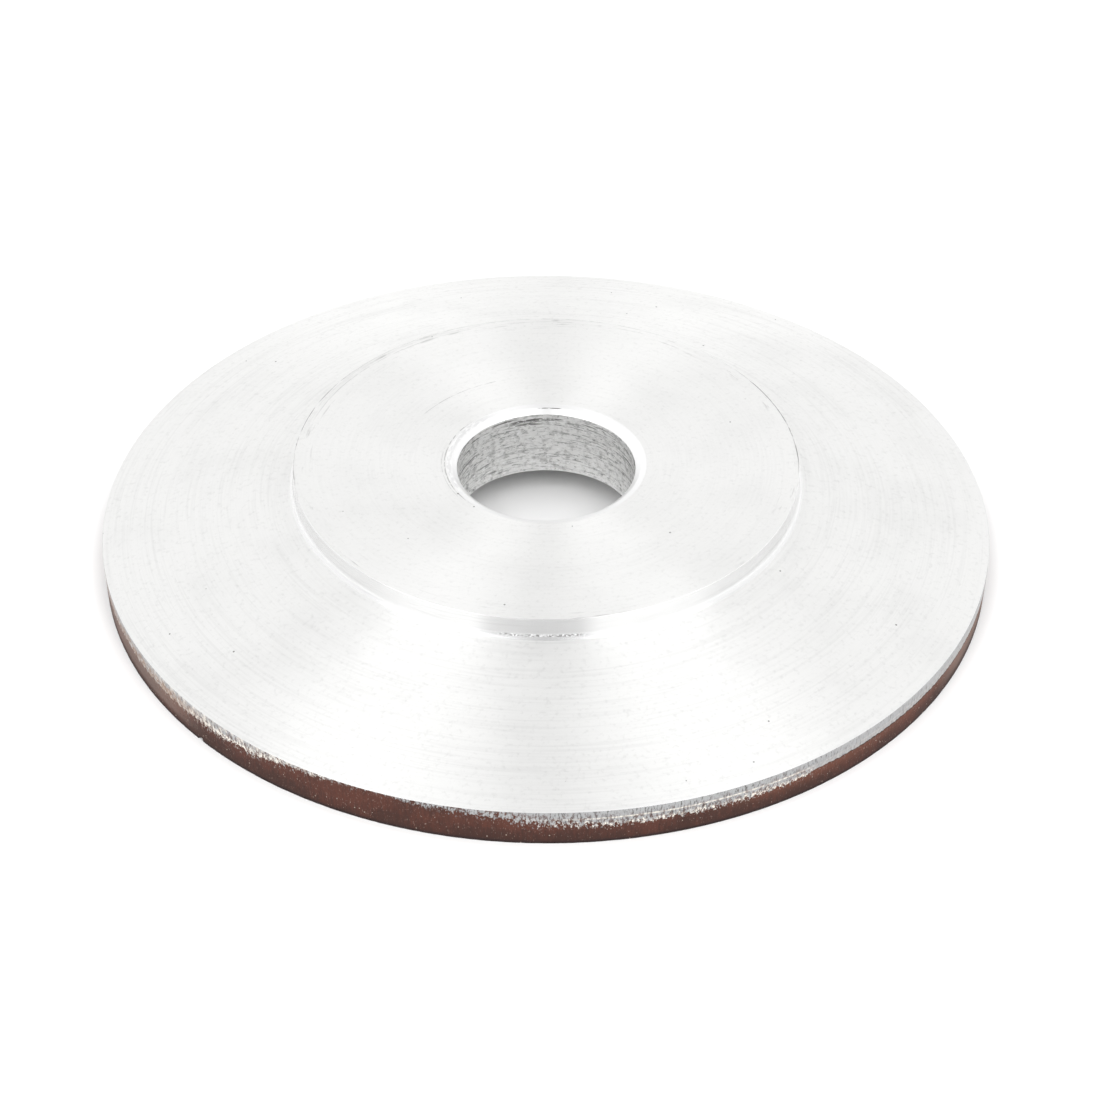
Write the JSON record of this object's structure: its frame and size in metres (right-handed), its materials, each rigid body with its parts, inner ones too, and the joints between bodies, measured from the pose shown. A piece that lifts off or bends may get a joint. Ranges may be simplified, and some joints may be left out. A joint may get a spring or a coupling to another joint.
{
  "type": "diamond grinding wheel",
  "caption": "Dish-shaped diamond grinding wheel: turned aluminium body with a raised boss and central bore, and a resin-bonded diamond ring under its rim.",
  "frame": {"origin": "on the bore axis, in the plane of the grinding face, which is the lowest plane of the wheel as it lies on a table", "axes": "+Z along the bore axis, from the grinding face to the boss face; X and Y are any two directions across the wheel, which is round"},
  "size_m": [0.1, 0.1, 0.013],
  "materials": {
    "turned_aluminium": "fine-turned, bare",
    "backing_resin": "ground phenolic resin, reddish brown",
    "diamond_resin": "ground phenolic resin with diamond grit, dark brown"
  },
  "bodies": {
    "root": {"wheel_body": "turned_aluminium", "backing_ring": "backing_resin", "diamond_ring": "diamond_resin"}
  },
  "joints": []
}
